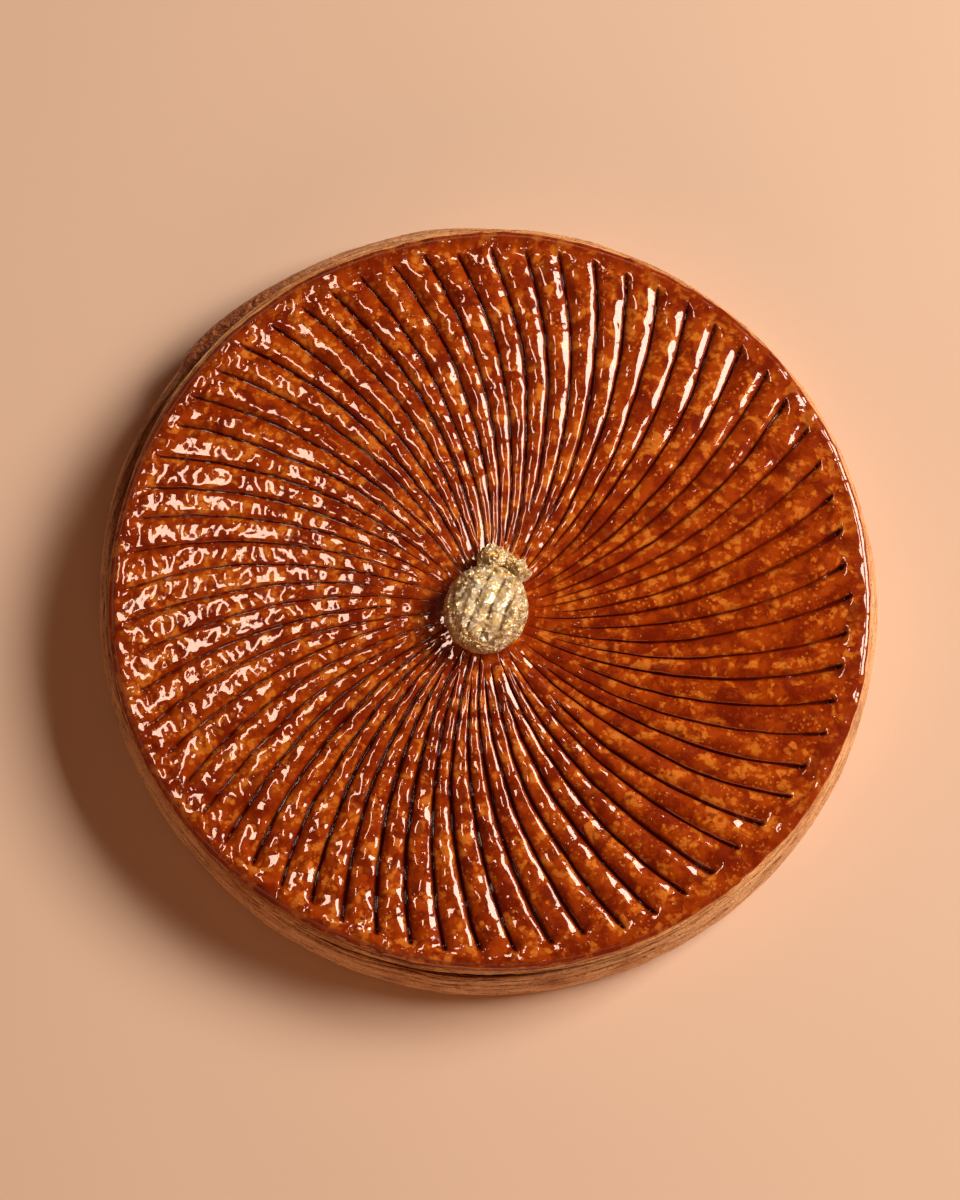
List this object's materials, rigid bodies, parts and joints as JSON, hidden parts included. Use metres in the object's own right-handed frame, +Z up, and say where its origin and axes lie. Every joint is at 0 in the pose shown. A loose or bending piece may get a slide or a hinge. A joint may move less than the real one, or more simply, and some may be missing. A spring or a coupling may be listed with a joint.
{
  "type": "galette des rois",
  "caption": "Round flat puff pastry pie of two stacked discs, the glazed top scored in a swirling rosette, with a nut wrapped in gold leaf at its middle.",
  "frame": {"origin": "middle of the flat underside", "axes": "+Z up through the two discs to the nut, +Y towards the side that the loose tuft of gold leaf points to, +X to its right"},
  "size_m": [0.26, 0.26, 0.0468],
  "materials": {
    "baked_pastry": "dry flaky browned pastry with fine horizontal layers",
    "caramel_glaze": "very glossy red-brown egg and sugar glaze with amber blotches",
    "gold_leaf": "crumpled bright gold leaf"
  },
  "bodies": {
    "root": {"lower_crust": "baked_pastry", "upper_crust": "caramel_glaze", "gilded_nut": "gold_leaf", "gold_leaf_tuft": "gold_leaf"}
  },
  "joints": []
}
